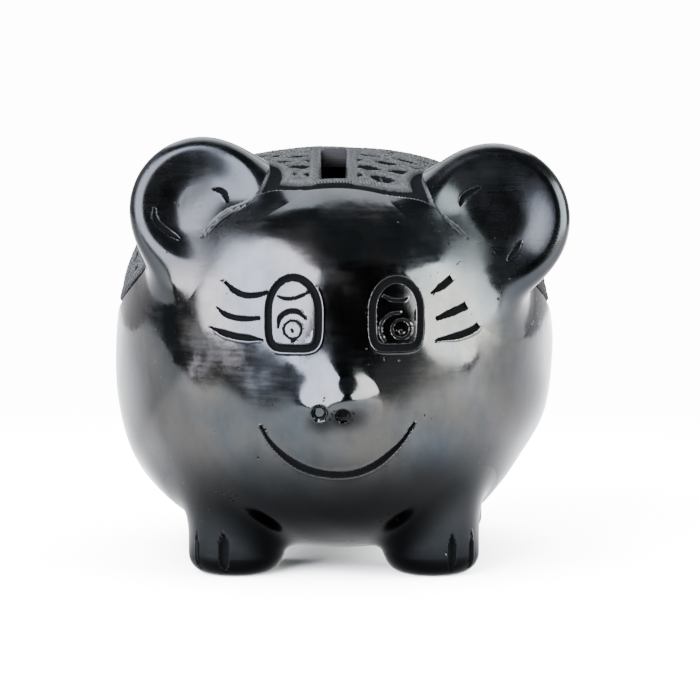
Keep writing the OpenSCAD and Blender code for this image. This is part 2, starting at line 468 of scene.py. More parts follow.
def pressed_on(name, rows, reach, field, rounds=14, cuts=(), carved=False):
    """rows is a first guess from tip to root, an array (rows, columns, 3); reach is how far the skirt
    runs out from the root over the body, one number or one for each column."""
    rows = cut_short(rows)
    root = drawn_onto(rows[-1], body_field)
    blend = np.linspace(0, 1, len(rows))[:, None, None] ** 3
    rows = rows + blend * (root - rows[-1])
    along = np.roll(root, -1, axis=0) - np.roll(root, 1, axis=0)
    away = np.cross(along, outward(body_field, root))
    away *= np.sign((away * (root - root.mean(0))).sum()) / far(away)[:, None]
    for _ in range(6):
        away = (np.roll(away, 1, axis=0) + away + np.roll(away, -1, axis=0)) / 3
    away /= far(away)[:, None]
    steps = np.linspace(0.08, 1, 20)
    skirt = root + away * (np.asarray(reach) * np.ones(len(root)))[:, None] * steps[:, None, None]
    grid = np.concatenate([rows, skirt])
    edge = drawn_onto(grid[-1], body_field)
    for _ in range(rounds):
        tip = np.broadcast_to(grid[0].mean(0), grid[:1].shape)
        up = np.concatenate([tip, grid[:-1]])
        down = np.concatenate([grid[1:], edge[None]])
        near = (up + down + np.roll(grid, 1, axis=1) + np.roll(grid, -1, axis=1)) / 4
        grid = drawn_onto(0.4 * grid + 0.6 * near, field, steps=3)
        grid[-1] = edge
    grid = drawn_onto(grid, field, steps=4)
    tip = drawn_onto(grid[0].mean(0), field)
    normals = outward(field, grid)
    close = smooth_step(1.0, 0.0, body_field(grid))[..., None]
    bare_and_shaded = cuts_depth(grid, cuts)[1]
    _, dark, ground, rope = on_back(grid) * carved
    grid, normals = pushed_in(grid, normals, lambda p: cuts_depth(p, cuts)[0] + on_back(p)[0] * carved)
    grid = grid + close * PROUD * normals
    grid[-1] -= DIVE * normals[-1]
    middle = root.mean(0)
    share = np.array([0.93, 0.7, 0.45, 0.22])[:, None, None]
    under = drawn_onto(middle + (edge - middle) * share, lambda p: body_field(p) + ROOT_DEPTH)
    foot = drawn_onto(middle, lambda p: body_field(p) + ROOT_DEPTH)
    points = np.concatenate([tip[None], grid.reshape(-1, 3), under.reshape(-1, 3), foot[None]])
    flat = outward(body_field, np.concatenate([under.reshape(-1, 3), foot[None]]))
    point_normals = np.concatenate([outward(field, tip)[None], normals.reshape(-1, 3), -flat])
    loops, starts = grid_faces(len(grid) + len(under), grid.shape[1])
    loops = turned_out(points, loops, starts, grid.shape[1])
    piece = put_mesh(name, points, loops, starts, point_normals[loops])
    # The cut share carries the painted shade that blackens cuts and gouges.
    for label, values in (("cut", np.maximum(bare_and_shaded, dark)), ("ground", ground), ("rope", rope)):
        rest = np.zeros(len(points) - 1 - values.size)
        add_share(piece, label, np.concatenate([[0], values.ravel(), rest]))
    return piece

# %% [markdown]
# An ear's first guess is a stack of flat loops: each row runs along the front of
# the disc, round its rolled rim, and back along the rear, and the rows open
# from the top of the rim down to where the rim meets the head.

# %% Ears
EAR_AXES = {"right_ear": (-0.618, 0.786), "left_ear": (0.706, 0.708)}


def ear_total(name):
    """The ear's field melted into the body's: tightly in front of the dish, and widely where the rim's two
    ends run into the head."""
    ear = EARS[name]
    ax, az = EAR_AXES[name]
    lateral = np.cross(ear["across"] * ax + ear["rise"] * az, ear["faces"])

    def total(p):
        """The melted field, whose softness grows from the middle of the ear to its ends."""
        soft = 6.0 + 10.0 * smooth_step(7.0, 20.0, np.abs((p - ear["middle"]) @ lateral))
        return melt(body_field(p), ear_field(p, ear), soft)

    return total


def ear_guess(name, rows=96, columns=256):
    """Loops round the disc: half the length is R sin(w), the height R cos(w), with w from 0 at the top to
    the angle where the rim enters the head, found on each side by scanning the rim's middle line."""
    ear = EARS[name]
    ax, az = EAR_AXES[name]
    up = ear["across"] * ax + ear["rise"] * az
    lateral = np.cross(up, ear["faces"])
    scan = np.linspace(0.6, 2.9, 400)
    ends = []
    for hand in (1, -1):
        line = (ear["middle"] + (ear["radius"] - RIM) * (lateral * hand * np.sin(scan)[:, None]
                                                        + up * np.cos(scan)[:, None]))
        ends.append(scan[np.argmax(body_field(line) < 0)])
    print(name, "rim enters the head at", np.degrees(ends).round(0))
    phi = np.arange(columns) * 2 * np.pi / columns
    x, w = np.cos(phi), np.sign(np.sin(phi)) * np.abs(np.sin(phi)) ** 0.45
    t = np.linspace(0.04, 1, rows)[:, None]
    high, low = t * ends[0], t * ends[1]
    share = (x + 1) / 2
    u = np.where(x > 0, x * np.sin(high), x * np.sin(low)) * ear["radius"]
    a = (share * np.cos(high) + (1 - share) * np.cos(low)) * ear["radius"]
    depth = ear["radius"] * (1 - np.cos((high + low) / 2))
    half = np.sqrt(np.maximum(RIM**2 - np.maximum(RIM - depth, 0) ** 2, 0)) * np.ones_like(x)
    return ear["middle"] + u[..., None] * lateral + a[..., None] * up + (w * half)[..., None] * ear["faces"]


EAR_TICKS = {"right_ear": (((3.4, 4.6), (6.0, 3.8), (7.8, 0.6)),
                           ((-12.0, -0.8), (-11.6, -3.8), (-8.6, -6.6), (-4.8, -9.2))),
             "left_ear": (((-4.0, 7.6), (-8.0, 5.4), (-9.6, 3.0)),
                          ((6.4, -6.6), (4.6, -9.4), (3.0, -11.6)))}


def ear_cuts(name):
    """The short curved cuts beside an ear's hollow: given across and up the disc, and laid on its skin."""
    ear, lines = EARS[name], []
    for tick in EAR_TICKS[name]:
        flat = smooth_line(tick, 24)
        line = ear["middle"] + flat[:, :1] * ear["across"] + flat[:, 1:] * ear["rise"] + 3 * ear["faces"]
        lines.append(gouge(drawn_onto(line, ear_total(name)), 0.62, 0.7, (0.45, 0.45)))
    return lines


CLAY = []
for name, ear in EARS.items():
    piece = pressed_on(name + "_skin", ear_guess(name), 13.0, ear_total(name),
                       cuts=ear_cuts(name), carved=True)
    CLAY.append((piece, name))

# %% [markdown]
# Legs, snout and tail start from rings instead: rings out along the sole and up
# the leg, rings along the nub, and rings along the tail's curl.

# %% Legs
LEG_MELT, TAIL_MELT = 8.0, 3.5


def leg_total(at):
    """A leg melted into the belly."""
    return lambda p: melt(body_field(p), leg_field(p, at), LEG_MELT)


def leg_guess(at, columns=160):
    """Rings: out along the flat sole, round its edge, then straight up to the belly above that ring."""
    psi = np.arange(columns) * 2 * np.pi / columns
    ring = np.stack([np.cos(psi), np.sin(psi)], -1)
    turn = np.linspace(0, np.pi / 2, 12)[1:]
    flat = LEG_R - FOOT_ROUND
    radii = np.concatenate([np.linspace(0.6, flat, 8), flat + FOOT_ROUND * np.sin(turn)])
    heights = np.concatenate([np.zeros(8), FOOT_ROUND * (1 - np.cos(turn))])
    plan = np.hypot((at[0] + LEG_R * ring[:, 0]) / HALF_W,
                    (at[1] + LEG_R * ring[:, 1]) / np.where(at[1] < 0, FACE_L, RUMP_L))
    belly = SEAM_Z - LOWER_H * (1 - np.minimum(plan, 0.99) ** BELLY_POWER) ** (1 / BELLY_POWER)
    rise = np.linspace(0, 1, 14)[1:, None]
    top = np.maximum(belly - FOOT_ROUND, 1.5)
    r = np.concatenate([radii, np.full(13, LEG_R)])[:, None] * np.ones(columns)
    z = np.concatenate([heights[:, None] * np.ones(columns), FOOT_ROUND + rise * top])
    return np.stack([at[0] + r * ring[:, 0], at[1] + r * ring[:, 1], z], -1)


TOES = {1: ((24, 1.15), (55, 0.75)), -1: ((-12, 1.35), (-52, 0.6))}


def toe_cuts(at):
    """Two upright lens-shaped cuts in the front of each foot, at angles from the front."""
    z = np.linspace(1.0, 11.6, 24)
    lines = []
    for degrees, half in TOES[int(np.sign(at[0]))]:
        turn = np.radians(degrees)
        line = np.stack([at[0] + LEG_R * np.sin(turn) + 0 * z,
                         at[1] - LEG_R * np.cos(turn) + 0 * z, z], -1)
        lines.append(gouge(drawn_onto(line, leg_total(at)), half, 1.3, (0.25, 0.25)))
    return lines


for name, at in LEGS.items():
    piece = pressed_on(name + "_skin", leg_guess(at), 9.0, leg_total(at), cuts=toe_cuts(at))
    CLAY.append((piece, name))

# %% [markdown]
# The snout is two low lumps pinched out of the face, so its rings start flat in
# front of it. The tail is a roll, so its rings follow the line of its curl.

# %% Snout and tail


def tube_guess(line, radius, columns=96):
    """Rings round a line of points, whose radius opens from nothing at the tip to the tube's own."""
    along = np.gradient(line, axis=0)
    along /= far(along)[:, None]
    side = np.cross(along, [1.0, 0, 0])
    side /= far(side)[:, None]
    other = np.cross(along, side)
    psi = np.arange(columns) * 2 * np.pi / columns
    run = np.concatenate([[0], np.cumsum(far(np.diff(line, axis=0)))])
    r = np.sqrt(np.maximum(radius**2 - np.maximum(radius - run - 0.25, 0) ** 2, 0.01))
    return line[:, None] + r[:, None, None] * (side[:, None] * np.cos(psi)[:, None]
                                               + other[:, None] * np.sin(psi)[:, None])


def nostril_share(p):
    """1 in a nostril's middle, a half at its edge; the finish paints the nostrils near-black as shade by it."""
    shares = [1 - 0.5 * np.hypot(p[..., 0] - x, p[..., 2] - z) / (r * 0.93)
              for x, z, r in NOSTRILS]
    return np.clip(np.maximum(*shares), 0, 1)


def snout_guess(rows=70, columns=168):
    """Rings out from between the nostrils, flat against the face."""
    psi = np.arange(columns) * 2 * np.pi / columns
    r = np.linspace(0.18, 11.0, rows)[:, None]
    return np.stack([SNOUT_X + r * np.cos(psi), -FACE_L - 5 + 0 * r * psi, SNOUT_Z + r * np.sin(psi)], -1)


piece = pressed_on("snout_skin", snout_guess(), 2.5, lambda p: body_field(p) - snout_lumps(p), rounds=3)
# Painted shade: the nostrils' insides are stored in the cut share, which the finish paints near-black.
spots = np.empty(3 * len(piece.data.vertices), np.float32)
piece.data.vertices.foreach_get("co", spots)
nostril_shade = nostril_share(spots.reshape(-1, 3) * 1000 - MIDDLE).astype(np.float32)
piece.data.attributes["cut"].data.foreach_set("value", nostril_shade)
CLAY.append((piece, "snout"))

curl = tail_line(np.linspace(1.0, 0.0, 60))
tip_run = curl[0] + (curl[0] - curl[1]) / far(curl[0] - curl[1]) * 2.9
curl = np.concatenate([tip_run + (curl[0] - tip_run) * np.linspace(0, 1, 8)[:-1, None], curl])
piece = pressed_on("tail_skin", tube_guess(curl, 3.2, columns=64), 4.5,
                   lambda p: melt(body_field(p), tail_field(p), TAIL_MELT))
CLAY.append((piece, "tail"))

# %% [markdown]
# The two bowls carry the carving, so their grid has to be fine where a tool has
# cut and may be coarse elsewhere. Both lie on one lattice: meridians from a pole
# on the face to a pole on the rump, and rings round that line. A cell is split
# into 1, 2 or 4 each way, and a coarse cell's face takes in the extra points
# on its edges, so the skin has no cracks.

# %% The lattice
NB, NA, SUB = 156, 184, 4                # cells from pole to pole, cells round, lattice steps in a cell
BACK, BELLY = 1, -1


def lattice_point(i, j, half, inset=0.0):
    """Where lattice node (i, j) lies: a direction at angle b from the -Y pole and a round it, run out to the
    squarish ellipse, so the distance is one over the direction's own reach."""
    b, a = np.pi * i / (NB * SUB), np.pi * j / (NA * SUB) * half
    d = np.stack([np.sin(b) * np.cos(a), -np.cos(b), np.sin(b) * np.sin(a)], -1)
    power, height = (BACK_POWER, UPPER_H) if half == BACK else (BELLY_POWER, LOWER_H)
    reach = (np.hypot(d[..., 0], d[..., 1]) ** power + np.abs(d[..., 2]) ** power) ** (1 / power)
    d = d / reach[..., None]
    length = np.where(d[..., 1] < 0, FACE_L, RUMP_L) - inset
    p = np.stack([d[..., 0] * (HALF_W - inset), d[..., 1] * length,
                  SEAM_Z + d[..., 2] * (height - inset)], -1)
    p[..., 0] *= np.where(p[..., 0] > 0, 1 - pared(p[..., 2]), 1)
    return p


def corner_nodes(size, steps_b, steps_a, hole):
    """Origins (i, j) and steps of all the small cells, group by group: cells of the same split go together."""
    groups = []
    for sb in sorted(set(steps_b.ravel())):
        for sa in sorted(set(steps_a.ravel())):
            cell = np.argwhere((steps_b == sb) & (steps_a == sa))
            if not len(cell):
                continue
            k, m = np.meshgrid(np.arange(0, size, sb), np.arange(0, size, sa), indexing="ij")
            i = (cell[:, :1] * size + k.ravel()).ravel()
            j = (cell[:, 1:] * size + m.ravel()).ravel()
            inside = (i >= hole[0]) & (i < hole[1]) & (j >= hole[2]) & (j < hole[3])
            groups.append((i[~inside], j[~inside], sb, sa))
    return groups


def used_nodes(groups):
    """The lattice nodes that are a corner of some small cell."""
    used = np.zeros((NB * SUB + 1, NA * SUB + 1), bool)
    for i, j, sb, sa in groups:
        for di, dj in ((0, 0), (sb, 0), (0, sa), (sb, sa)):
            used[i + di, j + dj] = True
    return used


def walk_round(i0, i1, j0, j1):
    """Every lattice node on a rectangle's edge, in order."""
    i, j = np.arange(i0, i1), np.arange(j0, j1)
    return np.concatenate([np.stack([i0 + 0 * j, j], -1), np.stack([i, j1 + 0 * i], -1),
                           np.stack([i1 + 0 * j, j1 + j0 - j], -1), np.stack([i1 + i0 - i, j0 + 0 * i], -1)])


def lattice_faces(groups, used, ids):
    """Corners and sizes of every face: each walks round its cell and keeps the nodes in use. On a pole's
    row only the first is kept, because the whole row is one point."""
    loops, sizes = [], []
    last = NB * SUB
    for i, j, sb, sa in groups:
        di, dj = walk_round(0, sb, 0, sa).T
        ii, jj = i[:, None] + di, j[:, None] + dj
        keep = used[ii, jj]
        keep &= ~((ii == 0) & (jj != j[:, None])) & ~((ii == last) & (jj != j[:, None]))
        loops.append(ids[ii, jj][keep])
        sizes.append(keep.sum(1))
    return np.concatenate(loops), np.concatenate(sizes)


def numbered(used):
    """A number for each node in use, with each pole's row sharing one."""
    ids = np.full(used.shape, -1)
    inner = used.copy()
    inner[0], inner[-1] = False, False
    ids[inner] = 1 + np.arange(inner.sum())
    ids[0], ids[-1] = 0, inner.sum() + 1
    where = np.concatenate([[[0, 0]], np.argwhere(inner), [[NB * SUB, 0]]])
    return ids, where


def rim_of(hole, used, ids):
    """The nodes in use round the hole's edge, in order."""
    walk = walk_round(*hole)
    walk = walk[used[walk[:, 0], walk[:, 1]]]
    return ids[walk[:, 0], walk[:, 1]]


def band(outer, inner):
    """Quads between two closed chains of the same length."""
    return np.stack([outer, np.roll(outer, -1), np.roll(inner, -1), inner], -1)

# %% [markdown]
# The face is drawn in the wet clay with the same gouge: an arch for each eye, a
# lid and rings inside it, three lashes outside it, and one long line for the
# mouth. Each line is a few points (across, up), made smooth and laid on the skin.

# %% Face


def on_face(flat):
    """Points (x, z) carried straight back onto the front of the body."""
    p = np.stack([flat[:, 0], np.full(len(flat), -FACE_L), flat[:, 1]], -1)
    for _ in range(14):
        p[:, 1] += body_field(p) * 0.8
    return p


def arch(x, half, middle, up, down, power=5.0):
    """A closed arch: half an ellipse above the middle line; below it, a rectangle with rounded corners,
    |x|^power + |z|^power = 1."""
    turn = np.linspace(0, 2 * np.pi, 81)
    c, n = np.cos(turn), np.sin(turn)
    square_c, square_n = (np.sign(v) * np.abs(v) ** (2 / power) for v in (c, n))
    return np.stack([x + half * np.where(n > 0, c, square_c),
                     middle + np.where(n > 0, up * n, down * square_n)], -1)


def ring(x, z, r):
    """A circle on the face."""
    turn = np.linspace(0, 2 * np.pi, 33)
    return np.stack([x + r * np.cos(turn), z + r * np.sin(turn)], -1)


FACE_LINES = (                           # line, half width, depth, and the width left at each end
    (arch(-9.9, 6.3, 71.4, 8.4, 9.2), 0.92, 0.9, (1, 1)),
    (arch(16.0, 6.1, 71.6, 7.6, 9.4), 0.90, 0.9, (1, 1)),
    (((-14.0, 75.2), (-12.2, 74.6), (-10.2, 74.6), (-8.0, 75.2), (-5.8, 76.4)), 0.42, 0.5, (0.5, 0.7)),
    (((12.8, 75.2), (14.8, 74.2), (17.2, 74.0), (18.8, 74.6)), 0.42, 0.5, (0.7, 0.5)),
    (((-13.7, 67.4), (-13.2, 69.8), (-11.2, 71.3), (-8.7, 71.3), (-6.8, 69.8)), 0.62, 0.6, (0.4, 0.4)),
    (ring(-10.0, 66.9, 2.25), 0.26, 0.25, (1, 1)),
    (ring(17.2, 66.9, 2.35), 0.28, 0.25, (1, 1)),
    (ring(16.0, 66.9, 4.1)[7:21], 0.26, 0.2, (1, 1)),
    (((-10.2, 66.8), (-10.0, 66.4)), 0.30, 0.4, (1, 1)),
    (((17.0, 66.4), (17.2, 66.0)), 0.32, 0.4, (1, 1)),
    (((-10.6, 64.7), (-9.8, 64.0), (-8.9, 65.0)), 0.28, 0.3, (0.6, 0.6)),
    (((-27.4, 78.2), (-24.8, 76.2), (-22.2, 75.2), (-19.2, 75.3), (-16.6, 76.0)), 0.70, 0.9, (0.55, 0.7)),
    (((-29.4, 71.8), (-27.4, 70.3), (-24.8, 69.5), (-21.8, 69.3), (-18.6, 69.6)), 0.66, 0.9, (0.35, 0.7)),
    (((-31.2, 66.8), (-27.8, 65.6), (-24.4, 64.8), (-21.0, 64.5), (-17.8, 64.2)), 0.76, 0.9, (0.3, 0.35)),
    (((32.9, 82.2), (30.8, 79.8), (27.8, 77.4), (25.0, 75.6)), 0.85, 0.9, (0.8, 0.3)),
    (((35.2, 74.4), (34.2, 72.3), (30.8, 70.8), (26.4, 69.2)), 0.90, 0.9, (0.5, 0.6)),
    (((38.4, 69.0), (36.5, 66.4), (32.4, 64.8), (26.7, 63.9)), 0.80, 0.9, (0.3, 0.5)),
    (((-18.2, 42.2), (-16.1, 38.6), (-13.0, 35.3), (-9.4, 32.6), (-5.4, 30.8), (-0.8, 29.9), (3.6, 29.9),
      (7.5, 30.8), (11.4, 32.8), (14.8, 35.6), (17.7, 38.6), (20.5, 42.8)), 0.95, 1.1, (0.45, 0.45)))
FACE_CUTS = []
for line, half, depth, taper in FACE_LINES:
    line = smooth_line(line) if isinstance(line, tuple) else line
    FACE_CUTS.append(gouge(on_face(line), half, depth, taper))
print(len(FACE_CUTS), "cuts in the face")

# %% Where the bowls are carved
COARSE, LEAFY, FINE = 1.3, 0.6, 0.24     # cell sizes: plain skin, the blanket, and beside a cut


def carving(p):
    """How deep the clay is cut at each point, in mm: the face's lines, the blanket, and a softened slot edge."""
    depth = cuts_depth(p, FACE_CUTS)[0]
    back = over_back(p)
    if back.any():
        depth[back] += blanket(p[back])[0]
        slot = blanket_parts(p[back])[2]
        depth[back] += 0.4 * np.exp(-slot / 0.35) * (slot > 0)
    return depth


def grain_size(p):
    """How small the skin's cells should be at each point, in mm."""
    size = np.full(p.shape[:-1], COARSE)
    back = over_back(p)
    size[back] = np.where(blanket_parts(p[back])[0] > -0.8, LEAFY, COARSE)
    flat_p, flat_size = p.reshape(-1, 3), size.ravel()
    for cut in FACE_CUTS:
        near = np.flatnonzero(far(flat_p - cut["middle"]) < cut["reach"] + 1)
        if len(near):
            share = line_distance(flat_p[near], cut)
            wanted = np.where(share < 1.7 + 0.5 / cut["half"].max(), FINE, COARSE)
            flat_size[near] = np.minimum(flat_size[near], wanted)
    return flat_size.reshape(p.shape[:-1])

# %% Bowls


def flipped(loops, sizes):
    """The same faces, each walked the other way."""
    ends = np.cumsum(sizes)
    starts = ends - sizes
    step = np.arange(len(loops)) - np.repeat(starts, sizes)
    return loops[np.repeat(ends, sizes) - 1 - step]


def split_steps(half, finest):
    """Steps of each cell along and round the lattice, from its own size over the size wanted there."""
    i, j = np.meshgrid(np.arange(NB + 1) * SUB, np.arange(NA + 1) * SUB, indexing="ij")
    p = lattice_point(i, j, half)
    size_b, size_a = far(p[1:, 1:] - p[:-1, 1:]), far(p[1:, 1:] - p[1:, :-1])
    want = finest((p[1:, 1:] + p[:-1, :-1]) / 2)
    return [(SUB // 2 ** np.clip(np.round(np.log2(np.maximum(size, 0.01) / want)), 0, 2).astype(int))
            for size in (size_b, size_a)]


def node_span(half, y_range, x_half):
    """Lattice rows and columns of a rectangle over the crown or under the belly."""
    rows = np.arange(NB * SUB + 1)
    y = lattice_point(rows, np.full_like(rows, NA * SUB // 2), half)[:, 1]
    i0, i1 = [int(np.argmin(np.abs(y - v))) for v in y_range]
    columns = np.arange(NA * SUB // 2)
    x = lattice_point(np.full_like(columns, (i0 + i1) // 2), columns, half)[:, 0]
    j0 = int(np.argmin(np.abs(x - x_half)))
    return i0, i1, j0, NA * SUB - j0


def cover(steps, hole, size):
    """Steps set to the finest for the cells that touch a hole."""
    out = steps.copy()
    out[hole[0] // size - 1:-(-hole[1] // size) + 1, hole[2] // size - 1:-(-hole[3] // size) + 1] = 1
    return out


def wall_skins(half, hole):
    """The outer and inner skins of one bowl: points, normals, faces and the chains where they are joined."""
    outer_b, outer_a = [cover(s, hole, SUB) for s in split_steps(half, grain_size)]
    seam = slice(None, None, 2)
    skins = []
    plain = cover(np.full((NB // 2, NA // 2), 2 * SUB), hole, 2 * SUB)
    for size, sb, sa, inset in ((SUB, outer_b, outer_a, 0.0), (2 * SUB, plain, plain, WALL)):
        groups = corner_nodes(size, sb, sa, hole)
        used = used_nodes(groups)
        used[seam, 0] = used[seam, -1] = True
        ids, where = numbered(used)
        p = lattice_point(where[:, 0], where[:, 1], half, inset)
        loops, sizes = lattice_faces(groups, used, ids)
        if (half == BACK) == (inset == 0):
            loops = flipped(loops, sizes)
        edge = np.concatenate([ids[used[:, 0], 0], ids[used[:, -1], -1][-2:0:-1]])
        skins.append(dict(p=p, loops=loops, sizes=sizes, edge=edge, where=where,
                          rim=rim_of(hole, used, ids)))
    return skins


def bowl(name, half, hole, mouth):
    """One bowl: outer skin with its carving, inner skin, the seam between them, and what mouth adds."""
    outer, inner = wall_skins(half, hole)
    p = outer["p"]
    on_seam = np.abs(p[:, 2] - SEAM_Z) < 1e-6
    p = drawn_onto(p, body_field, steps=4, level=on_seam)
    normals = outward(body_field, p)
    bare_and_shaded, ground, rope = cuts_depth(p, FACE_CUTS)[1], np.zeros(len(p)), np.zeros(len(p))
    back = over_back(p)
    if back.any():
        _, dark, ground[back], rope[back] = blanket(p[back])
        bare_and_shaded[back] = np.maximum(bare_and_shaded[back], dark)
    parts = blanket_parts(p)
    outer["p"], outer["n"] = pushed_in(p, normals, carving)
    q = inner["p"] - np.array([0, 0, SEAM_Z])
    inner["n"] = -q / far(q)[:, None]
    points, first, faces = [outer["p"], inner["p"]], len(outer["p"]), []
    for skin, start in ((outer, 0), (inner, first)):
        faces.append((skin["loops"] + start, skin["sizes"], skin["n"][skin["loops"]]))
    seam_band = band(outer["edge"], inner["edge"] + first)
    walls = [seam_band if half == BACK else seam_band[:, ::-1]]
    extra, quads, quad_normals = mouth(outer, inner, first)
    points += extra
    points = np.concatenate(points)
    for group in walls + quads:
        a, b, c, d = (points[group[:, k]] for k in range(4))
        flat = np.cross(c - a, d - b)
        flat /= np.maximum(far(flat), 1e-9)[:, None]
        faces.append((group.ravel(), np.full(len(group), 4), np.repeat(flat, 4, axis=0)))
    for group, corner_normals in quad_normals:
        faces.append((group.ravel(), np.full(len(group), 4), corner_normals))
    loops = np.concatenate([f[0] for f in faces])
    sizes = np.concatenate([f[1] for f in faces])
    normals = np.concatenate([f[2] for f in faces])
    starts = np.cumsum(sizes) - sizes
    piece = put_mesh(name, points, loops, starts, normals)
    # The cut share carries the painted shade that blackens cuts and gouges.
    for label, values in (("cut", bare_and_shaded), ("ground", ground), ("rope", rope)):
        add_share(piece, label, np.concatenate([values, np.zeros(len(points) - len(values))]))
    along = np.concatenate([parts[1], np.zeros(len(points) - len(p))])[loops]
    plan = np.stack([along / 100, (points[loops, 1]) / 100], -1)
    piece.data.uv_layers.new(name="plan").data.foreach_set("uv", plan.astype(np.float32).ravel())
    return piece

# %% The coin slot and the crown
slot_hole = node_span(BACK, SLOT_Y, SLOT_HALF)


def slot_mouth(outer, inner, first):
    """Walls straight down from the slot's outline: near the slot the inner skin's points slide sideways
    until those on the outline are under the outer ones."""
    rim_out, rim_in = outer["rim"], inner["rim"]
    over = lattice_point(inner["where"][:, 0], inner["where"][:, 1], BACK)
    dx = np.maximum(np.abs(over[:, 0]) - SLOT_HALF, 0)
    dy = np.maximum(np.maximum(SLOT_Y[0] - over[:, 1], over[:, 1] - SLOT_Y[1]), 0)
    share = smooth_step(16, 0, np.hypot(dx, dy))[:, None]
    q = inner["p"]
    moved = q[:, :2] * (1 - share) + over[:, :2] * share
    moved[rim_in] = outer["p"][rim_out][:, :2]
    length = np.where(moved[:, 1] < 0, FACE_L, RUMP_L) - WALL
    plan = np.hypot(moved[:, 0] / (HALF_W - WALL), moved[:, 1] / length)
    lift = SEAM_Z + (UPPER_H - WALL) * np.maximum(1 - plan**BACK_POWER, 0) ** (1 / BACK_POWER)
    near = share[:, 0] > 0
    q[near, :2], q[near, 2] = moved[near], lift[near]
    return [], [band(rim_in + first, rim_out)], []


piece = bowl("upper_skin", BACK, slot_hole, slot_mouth)
CLAY.append((piece, "upper_bowl"))

# %% The belly and its bore
stopper_lo, stopper_hi = [corner - MIDDLE for corner in box_mm("stopper")]
FLANGE_R = (stopper_hi[0] - stopper_lo[0]) / 2
BORE_R, GAP, FLANGE_T = FLANGE_R - 3, 0.3, 1.3
BORE_AT = (stopper_lo + stopper_hi) / 2
LEDGE_Z = stopper_lo[2] + FLANGE_T + GAP
print("bore", BORE_R, "flange", FLANGE_R, "ledge", LEDGE_Z, "at", BORE_AT)
belly_hole = node_span(BELLY, (BORE_AT[1] - 20, BORE_AT[1] + 20), 20)


def bore_mouth(outer, inner, first):
    """Rings that turn the lattice's square hole into round ones: over the belly to the flange's recess,
    up the recess, across its ledge, up the bore, and out over the inside of the belly."""
    ring_out = outer["p"][outer["rim"]]
    turn = np.arctan2(ring_out[:, 1] - BORE_AT[1], ring_out[:, 0] - BORE_AT[0])
    circle = np.stack([np.cos(turn), np.sin(turn)], -1)
    recess = FLANGE_R + GAP

    def at_radius(r, z=None):
        """A ring of radius r about the bore, at height z or on the belly."""
        ring = np.concatenate([BORE_AT[:2] + circle * r, np.full((len(circle), 1), 4.0)], -1)
        if z is None:
            ring = drawn_onto(ring, body_field)
            ring[:, :2] = BORE_AT[:2] + circle * r
        else:
            ring[:, 2] = z
        return ring

    round_edge = at_radius(recess + 0.4)
    rings = [drawn_onto(ring_out * (1 - s) + round_edge * s, body_field) for s in (0.25, 0.5, 0.75)]
    lip = at_radius(recess + 0.1)
    lip[:, 2] = round_edge[:, 2] + 0.25
    rings += [round_edge, lip, at_radius(recess, LEDGE_Z - 0.1), at_radius(recess - 0.15, LEDGE_Z),
              at_radius(BORE_R + 0.3, LEDGE_Z), at_radius(BORE_R, LEDGE_Z + 0.3)]
    bore_plan = np.hypot(circle[:, 0] * BORE_R / (HALF_W - WALL),
                         (BORE_AT[1] + circle[:, 1] * BORE_R) / (FACE_L - WALL))
    inside = SEAM_Z - (LOWER_H - WALL) * (1 - bore_plan**BELLY_POWER) ** (1 / BELLY_POWER)
    top = at_radius(BORE_R, 0)
    top[:, 2] = inside
    rings.append(top)
    ring_in = inner["p"][inner["rim"]]
    for s in (0.33, 0.67):
        ring = top * (1 - s) + ring_in * s
        length = np.where(ring[:, 1] < 0, FACE_L, RUMP_L) - WALL
        plan = np.hypot(ring[:, 0] / (HALF_W - WALL), ring[:, 1] / length)
        ring[:, 2] = SEAM_Z - (LOWER_H - WALL) * (1 - plan**BELLY_POWER) ** (1 / BELLY_POWER)
        rings.append(ring)
    count, start = len(ring_out), first + len(inner["p"])
    between = [start + count * k + np.arange(count) for k in range(len(rings))]
    chains = [outer["rim"]] + between + [inner["rim"] + first]
    smooth = []
    belly = [ring_out] + rings[:4]
    for k in range(4):
        quad = band(chains[k], chains[k + 1])[:, ::-1]
        n = [outward(body_field, belly[m]) for m in (k, k + 1)]
        both = np.stack([n[0], np.roll(n[0], -1, 0), np.roll(n[1], -1, 0), n[1]], 1)[:, ::-1]
        smooth.append((quad, both.reshape(-1, 3)))
    hard = [band(chains[k], chains[k + 1])[:, ::-1] for k in range(4, len(chains) - 1)]
    return rings, hard, smooth


piece = bowl("lower_skin", BELLY, belly_hole, bore_mouth)
CLAY.append((piece, "lower_bowl"))

# %% [markdown]
# The stopper is moulded rubber, so it is a turned shape: one outline, softened
# at its corners, swept round an upright line through the bore.

# %% Stopper


def lathe(name, profile, at, columns=128):
    """A profile of (radius, height) points, from the axis below to the axis above, turned about a line."""
    psi = np.arange(columns) * 2 * np.pi / columns
    r, z = profile[:, 0, None], profile[:, 1, None]
    rings = np.stack([at[0] + r * np.cos(psi), at[1] + r * np.sin(psi), z + 0 * psi], -1)
    points = np.concatenate([rings[0].mean(0)[None], rings[1:-1].reshape(-1, 3), rings[-1].mean(0)[None]])
    loops, starts = grid_faces(len(profile) - 2, columns)
    loops = turned_out(points, loops, starts, columns)
    along = np.gradient(profile, axis=0)
    n2 = np.stack([along[:, 1], -along[:, 0]], -1)
    n2 /= np.maximum(far(n2), 1e-9)[:, None]
    ring_n = np.stack([n2[:, 0, None] * np.cos(psi), n2[:, 0, None] * np.sin(psi),
                       n2[:, 1, None] + 0 * psi], -1)
    normals = np.concatenate([[[0, 0, -1.0]], ring_n[1:-1].reshape(-1, 3), [[0, 0, 1.0]]])
    return put_mesh(name, points, loops, starts, normals[loops])


